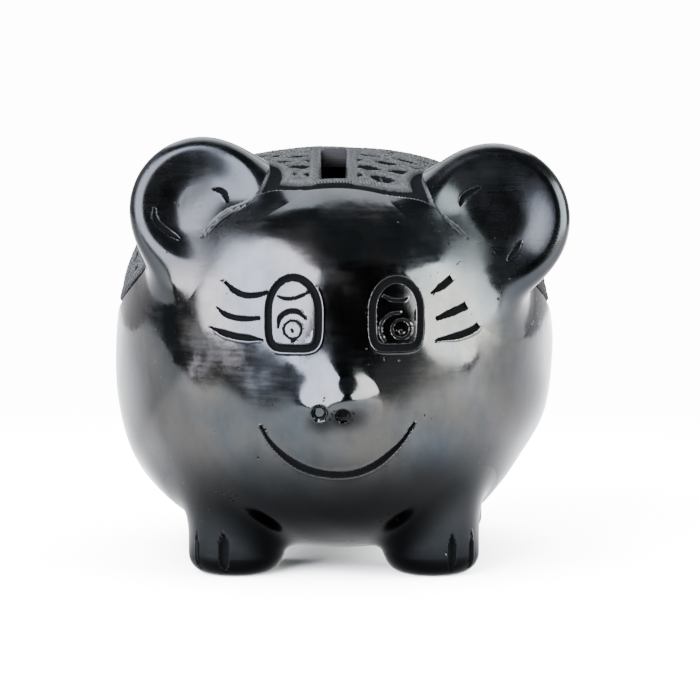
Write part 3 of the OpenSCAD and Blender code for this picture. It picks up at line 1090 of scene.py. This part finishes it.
def rounded(corners, radius, turns=5):
    """A profile with each inner corner replaced by a short arc: a quadratic curve that starts and ends
    radius away from the corner."""
    out = [corners[0]]
    for before, at, after in zip(corners[:-2], corners[1:-1], corners[2:]):
        a, b = before - at, after - at
        r = min(radius, 0.45 * np.hypot(*a), 0.45 * np.hypot(*b))
        p0, p1 = at + a / np.hypot(*a) * r, at + b / np.hypot(*b) * r
        t = np.linspace(0, 1, turns)[:, None]
        out += list((1 - t) ** 2 * p0 + 2 * t * (1 - t) * at + t**2 * p1)
    return np.array(out + [corners[-1]])


PLUG_R, FLANGE_Z, PLUG_TOP = BORE_R - GAP, stopper_lo[2], stopper_hi[2]
outline = np.array([[0, FLANGE_Z + 1], [3.4, FLANGE_Z + 1], [4, FLANGE_Z], [FLANGE_R, FLANGE_Z],
                    [FLANGE_R, FLANGE_Z + FLANGE_T], [PLUG_R, FLANGE_Z + FLANGE_T], [PLUG_R, PLUG_TOP - 1.2],
                    [PLUG_R - 0.8, PLUG_TOP], [0, PLUG_TOP]])
stopper = lathe("stopper_turned", rounded(outline, 0.45), BORE_AT)

# %% [markdown]
# The clay is burnished with a stone before a smoky firing turns it black, so it
# shines like graphite: a dark mirror whose reflections are soft in some strokes
# of the stone and sharp in others.

# %% Burnished clay


def new_material(name):
    """An empty node material, and a helper that adds a node with settings and linked inputs."""
    material = bpy.data.materials.new(name)
    material.use_nodes = True
    nodes, links = material.node_tree.nodes, material.node_tree.links
    nodes.clear()

    def add(kind, sockets=None, **settings):
        """Adds a node; a socket's value is a number, a colour, or another node's output to link."""
        node = nodes.new(kind)
        for key, value in settings.items():
            setattr(node, key, value)
        for key, value in (sockets or {}).items():
            if isinstance(value, bpy.types.NodeSocket):
                links.new(value, node.inputs[key])
            else:
                node.inputs[key].default_value = value
        return node

    return material, add


def mm_noise(add, place, size, detail=3.0, stretch=(1, 1, 1), rough=0.55):
    """Noise whose blotches are about size mm across, drawn out along an axis where stretch is below 1."""
    scaled = add("ShaderNodeMapping", {"Vector": place, "Scale": tuple(1000 / size * k for k in stretch)})
    return add("ShaderNodeTexNoise", {"Vector": scaled.outputs[0], "Scale": 1.0, "Detail": detail,
                                      "Roughness": rough}).outputs["Fac"]


def ramp(add, value, low, high, to_low=0.0, to_high=1.0):
    """value carried from low..high to to_low..to_high, with the ends held."""
    return add("ShaderNodeMapRange", {"Value": value, "From Min": low, "From Max": high,
                                      "To Min": to_low, "To Max": to_high}).outputs[0]


def maths(add, kind, a, b):
    """One arithmetic step."""
    return add("ShaderNodeMath", {0: a, 1: b}, operation=kind).outputs[0]


def blend(add, share, a, b):
    """Colour a where share is 0 and b where it is 1."""
    return add("ShaderNodeMix", {0: share, 6: a, 7: b}, data_type="RGBA").outputs[2]


POLISH_BLUE, POLISH_BROWN = (0.0140, 0.0158, 0.0182, 1), (0.0190, 0.0180, 0.0172, 1)
SHADE_BLACK, GROUND_GREY = (0.0010, 0.0011, 0.0012, 1), (0.026, 0.0275, 0.0285, 1)


def burnished():
    """Burnished clay: a dark metal-like mirror, uneven in shine and tint, rubbed in strokes and pitted here
    and there, with painted shade in the pits; dull and painted near-black as shade inside cuts, gouges and
    nostrils, dull grey on the blanket's ground, with slanted ticks along its ropes. Painted shade makes it
    darker on the legs and low belly, by height, and darker near each ear's middle, which is also duller. The
    base colours are far below a real clay's, to suit this studio's very bright lights."""
    material, add = new_material("burnished_clay")
    place = add("ShaderNodeTexCoord").outputs["Object"]
    plan = add("ShaderNodeUVMap", uv_map="plan").outputs[0]
    share = {name: add("ShaderNodeAttribute", attribute_name=name).outputs["Fac"]
             for name in ("cut", "ground", "rope")}
    cut = ramp(add, share["cut"], 0.40, 0.50)

    tint = ramp(add, mm_noise(add, place, 26, 3.0), 0.38, 0.62)
    polish = blend(add, tint, POLISH_BLUE, POLISH_BROWN)
    smudge = ramp(add, mm_noise(add, place, 7.5, 6.0, (1, 1, 0.6), 0.65), 0.42, 0.66)
    polish = blend(add, maths(add, "MULTIPLY", smudge, 0.55), polish, (0.0095, 0.0105, 0.0115, 1))
    # Painted shade: the clay's colour darkens towards the floor, on the legs and low belly, by height.
    low = add("ShaderNodeSeparateXYZ", {"Vector": place}).outputs[2]
    polish = blend(add, ramp(add, low, 0.012, 0.040), (0.0048, 0.0052, 0.0058, 1), polish)
    # Painted shade: the colour darkens near each ear's middle, over its hollow; the same mask also makes it
    # duller.
    ear_shade_and_dullness = []
    for ear in EARS.values():
        apart = add("ShaderNodeVectorMath", {0: place, 1: tuple((ear["middle"] + MIDDLE) / 1000)},
                    operation="DISTANCE").outputs["Value"]
        ear_shade_and_dullness.append(ramp(add, apart, 0.026, 0.017))
    ears = maths(add, "MAXIMUM", *ear_shade_and_dullness)
    polish = blend(add, maths(add, "MULTIPLY", ears, 0.8), polish, (0.0062, 0.0070, 0.0080, 1))
    strokes = mm_noise(add, place, 0.8, 4.0, (0.10, 0.10, 1.0), 0.6)
    swept = mm_noise(add, place, 14, 2.0)
    rubbed = maths(add, "MULTIPLY", strokes, ramp(add, swept, 0.40, 0.62, 0.35, 1.0))

    # Painted shade: small pits, dented by the bump and painted near-black in the colour.
    scattered = add("ShaderNodeMapping", {"Vector": place, "Scale": (420, 420, 420)})
    pits = add("ShaderNodeTexVoronoi", {"Vector": scattered.outputs[0], "Scale": 1.0, "Randomness": 1.0})
    where = ramp(add, mm_noise(add, place, 9, 3.0), 0.52, 0.70)
    pit_size = maths(add, "MULTIPLY", where, 0.17)
    pit = ramp(add, maths(add, "SUBTRACT", pit_size, pits.outputs["Distance"]), -0.03, 0.03)

    slant = add("ShaderNodeSeparateXYZ", {"Vector": plan})
    along = maths(add, "MULTIPLY", maths(add, "ADD", slant.outputs[0], slant.outputs[1]), 620.0)
    tick = ramp(add, maths(add, "SINE", along, 0.0), -1.0, 1.0)
    hatch = mm_noise(add, place, 0.5, 3.0, (1.0, 0.35, 1.0), 0.7)
    ground = blend(add, ramp(add, hatch, 0.35, 0.7), (0.0085, 0.0090, 0.0095, 1), GROUND_GREY)
    ground = blend(add, maths(add, "MULTIPLY", share["rope"], maths(add, "SUBTRACT", 1.0, tick)), ground,
                   (0.0035, 0.0036, 0.0038, 1))

    ground = blend(add, ramp(add, share["rope"], 0.1, 0.7, 0.75, 0.0), ground, (0.0050, 0.0052, 0.0055, 1))
    colour = blend(add, share["ground"], polish, ground)
    colour = blend(add, maths(add, "MULTIPLY", pit, 0.85), colour, SHADE_BLACK)
    # Painted shade: inside every cut, gouge and nostril the colour is near-black, dull and not metal-like.
    colour = blend(add, cut, colour, SHADE_BLACK)
    metal = maths(add, "MULTIPLY", ramp(add, cut, 0, 1, 1, 0), ramp(add, share["ground"], 0, 1, 1, 0))
    shine = ramp(add, mm_noise(add, place, 12, 5.0, (1, 1, 0.7), 0.6), 0.35, 0.68, 0.07, 0.20)
    shine = maths(add, "ADD", shine, ramp(add, rubbed, 0.15, 0.65, -0.02, 0.08))
    shine = maths(add, "ADD", shine, maths(add, "MULTIPLY", ears, 0.13))
    dull = maths(add, "MAXIMUM", cut, share["ground"])
    shine = maths(add, "MAXIMUM", shine, maths(add, "MULTIPLY", dull, 0.62))

    waves = maths(add, "MULTIPLY", mm_noise(add, place, 3.2, 2.0, (1, 1, 0.7)), 0.030)
    brushed = maths(add, "MULTIPLY", rubbed, 0.0035)
    ticks = maths(add, "MULTIPLY", maths(add, "MULTIPLY", share["rope"], tick), 0.22)
    scratch = maths(add, "MULTIPLY", maths(add, "MULTIPLY", share["ground"], hatch), 0.16)
    height = maths(add, "ADD", maths(add, "ADD", waves, brushed), maths(add, "ADD", ticks, scratch))
    height = maths(add, "SUBTRACT", height, maths(add, "MULTIPLY", pit, 0.12))
    bump = add("ShaderNodeBump", {"Height": height, "Strength": 1.0, "Distance": 0.001})
    shader = add("ShaderNodeBsdfPrincipled", {"Base Color": colour, "Metallic": metal, "Roughness": shine,
                                              "Specular IOR Level": 0.0,
                                              "Specular Tint": (0.74, 0.73, 0.74, 1), "Normal": bump.outputs[0]})
    add("ShaderNodeOutputMaterial", {"Surface": shader.outputs[0]})
    return material


def rubber_finish():
    """Matt black rubber."""
    material, add = new_material("stopper_rubber")
    place = add("ShaderNodeTexCoord").outputs["Object"]
    grain = add("ShaderNodeTexNoise", {"Vector": place, "Scale": 900.0, "Detail": 3.0})
    shine = add("ShaderNodeMapRange", {"Value": grain.outputs["Fac"], "To Min": 0.5, "To Max": 0.7})
    bump = add("ShaderNodeBump", {"Height": grain.outputs["Fac"], "Strength": 0.1, "Distance": 0.0002})
    shader = add("ShaderNodeBsdfPrincipled", {"Base Color": (0.02, 0.02, 0.021, 1), "Roughness": shine.outputs[0],
                                              "Normal": bump.outputs[0]})
    add("ShaderNodeOutputMaterial", {"Surface": shader.outputs[0]})
    return material


clay, rubber = burnished(), rubber_finish()

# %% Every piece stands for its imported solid
for piece, node in CLAY:
    piece.data.materials.append(clay)
    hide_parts(node)
    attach(piece, "vessel")
stopper.data.materials.append(rubber)
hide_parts("stopper")
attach(stopper, "stopper")
print(len(CLAY) + 1, "pieces")

# %% [markdown]
# A dark mirror shows the room more than itself. The camera sees a white table
# that turns into plain glow further out, and white walls. The clay mirrors other
# things instead, which the camera doesn't see: a glowing copy of the table that is a
# painted reflection, graded with a painted shadow under the belly, a dark card in
# front, and a strip of sweep behind. The lights are a large soft one on the left,
# one on the right, one behind, one overhead.

# %% Floor
WHITE = 14.0                             # how brightly the walls and the far table glow


def sheet(name, corners, material):
    """A flat four-cornered card; corners in metres."""
    mesh = bpy.data.meshes.new(name)
    mesh.from_pydata(corners, [], [(0, 1, 2, 3)])
    obj = bpy.data.objects.new(name, mesh)
    mesh.materials.append(material)
    bpy.context.scene.collection.objects.link(obj)
    return obj


def card(name, colour):
    """Plain matt card."""
    material, add = new_material(name)
    shader = add("ShaderNodeBsdfDiffuse", {"Color": (*colour, 1)})
    add("ShaderNodeOutputMaterial", {"Surface": shader.outputs[0]})
    return material


def glowing(name, colour, strength):
    """A card lit from within."""
    material, add = new_material(name)
    shader = add("ShaderNodeEmission", {"Color": (*colour, 1), "Strength": strength})
    add("ShaderNodeOutputMaterial", {"Surface": shader.outputs[0]})
    return material


def sweep_finish():
    """White card round the pig that turns into plain glowing white further out, by the distance from it."""
    material, add = new_material("white_table")
    place = add("ShaderNodeTexCoord").outputs["Object"]
    away = add("ShaderNodeVectorMath", {0: place}, operation="LENGTH").outputs["Value"]
    lit = add("ShaderNodeBsdfDiffuse", {"Color": (0.86, 0.86, 0.87, 1)})
    glow = add("ShaderNodeEmission", {"Color": (1, 1, 1, 1), "Strength": WHITE})
    far_out = add("ShaderNodeMapRange", {"Value": away, "From Min": 0.14, "From Max": 0.42},
                  interpolation_type="SMOOTHSTEP")
    mix = add("ShaderNodeMixShader", {0: far_out.outputs[0], 1: lit.outputs[0], 2: glow.outputs[0]})
    add("ShaderNodeOutputMaterial", {"Surface": mix.outputs[0]})
    return material


WIDE = [(-4, -4, 0), (4, -4, 0), (4, 4, 0), (-4, 4, 0)]
floor = sheet("floor", WIDE, sweep_finish())
floor.visible_glossy = False


def painted_reflection_finish():
    """A painted reflection of the table for the burnish to mirror, glowing though it is no lamp, graded: a
    painted shadow under the belly, grey in front, brighter to the sides, and dim behind and far in front."""
    material, add = new_material("painted_table_reflection")
    place = add("ShaderNodeTexCoord").outputs["Object"]
    away = add("ShaderNodeVectorMath", {0: place}, operation="LENGTH").outputs["Value"]
    side = add("ShaderNodeSeparateXYZ", {"Vector": place}).outputs[0]
    light = add("ShaderNodeMapRange", {"Value": away, "From Min": 0.045, "From Max": 0.12,
                                       "To Min": 1.5, "To Max": 13.0},
                interpolation_type="SMOOTHSTEP").outputs[0]
    left_side = ramp(add, side, -0.10, -0.45, 0.0, 3.5)
    right_side = ramp(add, side, 0.06, 0.35, 0.0, 8.5)
    light = maths(add, "ADD", light, maths(add, "ADD", left_side, right_side))
    front = add("ShaderNodeSeparateXYZ", {"Vector": place}).outputs[1]
    light = maths(add, "MULTIPLY", light, ramp(add, front, -0.33, -0.20, 0.08, 1.0))
    light = maths(add, "MULTIPLY", light, ramp(add, front, -0.09, 0.06, 1.0, 0.4))
    glow = add("ShaderNodeEmission", {"Color": (0.94, 0.98, 1.0, 1), "Strength": light})
    add("ShaderNodeOutputMaterial", {"Surface": glow.outputs[0]})
    return material


# A painted reflection: a glowing copy of the table, with a painted shadow, seen only in reflections.
painted_reflection = sheet("painted_table_reflection", [(x, y, -0.0005) for x, y, _ in WIDE], painted_reflection_finish())
painted_reflection.visible_camera = painted_reflection.visible_diffuse = painted_reflection.visible_shadow = False
flag = sheet("dark_card", [(-0.2, -1.7, -0.2), (1.5, -1.4, -0.2), (1.5, -1.4, 1.8), (-0.2, -1.7, 1.8)],
             card("black_card", (0.01, 0.01, 0.01)))
flag.visible_camera = flag.visible_diffuse = flag.visible_shadow = False

# %% White walls and the strip of sweep
turn = np.arange(97) * 2 * np.pi / 96
ring = np.stack([3.6 * np.cos(turn), 3.6 * np.sin(turn), 0 * turn - 0.1], -1)
top = ring + [0, 0, 5.0]
walls = bpy.data.meshes.new("white_walls")
k = np.arange(96)
quads = np.stack([k, k + 1, k + 98, k + 97], -1)
walls.from_pydata(np.concatenate([ring, top]).tolist(), [], quads.tolist())
walls.materials.append(glowing("wall_white", (1, 1, 1), WHITE))
room = bpy.data.objects.new("white_walls", walls)
bpy.context.scene.collection.objects.link(room)
room.visible_glossy = room.visible_diffuse = room.visible_shadow = False

sweep = sheet("rear_sweep", [(-2.4, 1.5, 0), (2.4, 1.5, 0), (2.4, 1.5, 1.5), (-2.4, 1.5, 1.5)],
              glowing("sweep_white", (0.97, 0.98, 1.0), 2.2))
sweep.visible_camera = sweep.visible_diffuse = sweep.visible_shadow = False

# %% Lights
world = bpy.data.worlds.new("dim_studio")
world.use_nodes = True
world.node_tree.nodes["Background"].inputs["Color"].default_value = (0.80, 0.93, 1.0, 1)
world.node_tree.nodes["Background"].inputs["Strength"].default_value = 0.7
bpy.context.scene.world = world


def softbox(name, at, aim, width, height, radiance, colour):
    """A flat light whose watts are radiance x pi x area, turned to look from at to aim."""
    lamp = bpy.data.lights.new(name, "AREA")
    lamp.shape, lamp.size, lamp.size_y = "RECTANGLE", width, height
    lamp.energy = radiance * np.pi * width * height
    lamp.color = colour
    obj = bpy.data.objects.new(name, lamp)
    obj.location = at
    obj.rotation_euler = (Vector(aim) - Vector(at)).to_track_quat("-Z", "Y").to_euler()
    obj.visible_camera = False
    bpy.context.scene.collection.objects.link(obj)
    return obj


softbox("left_softbox", (-0.72, -0.62, 0.5), (0, 0, 0.06), 1.3, 0.95, 75, (0.94, 0.93, 1.0))
softbox("right_softbox", (0.95, -0.25, 0.38), (0, 0, 0.06), 0.9, 0.66, 72, (0.95, 1.0, 0.94))
softbox("rear_softbox", (0, 0.48, 1.0), (0, 0, 0.1), 1.1, 0.85, 16, (0.98, 1.0, 1.0))
table = softbox("table_light", (0.15, 0.1, 1.9), (0.15, 0.1, 0), 2.4, 2.4, 26, (1, 1, 1))
table.visible_glossy = False

# %% Camera
camera_data = bpy.data.cameras.new("camera")
camera_data.sensor_width = 36.0
camera_data.lens = 128.8
camera_data.clip_end = 20
camera = bpy.data.objects.new("camera", camera_data)
camera.location = (np.array([4.3, -690, 118]) + MIDDLE) / 1000
camera.rotation_euler = (np.radians(90 - 5.15), 0, 0)
bpy.context.scene.collection.objects.link(camera)
bpy.context.scene.camera = camera
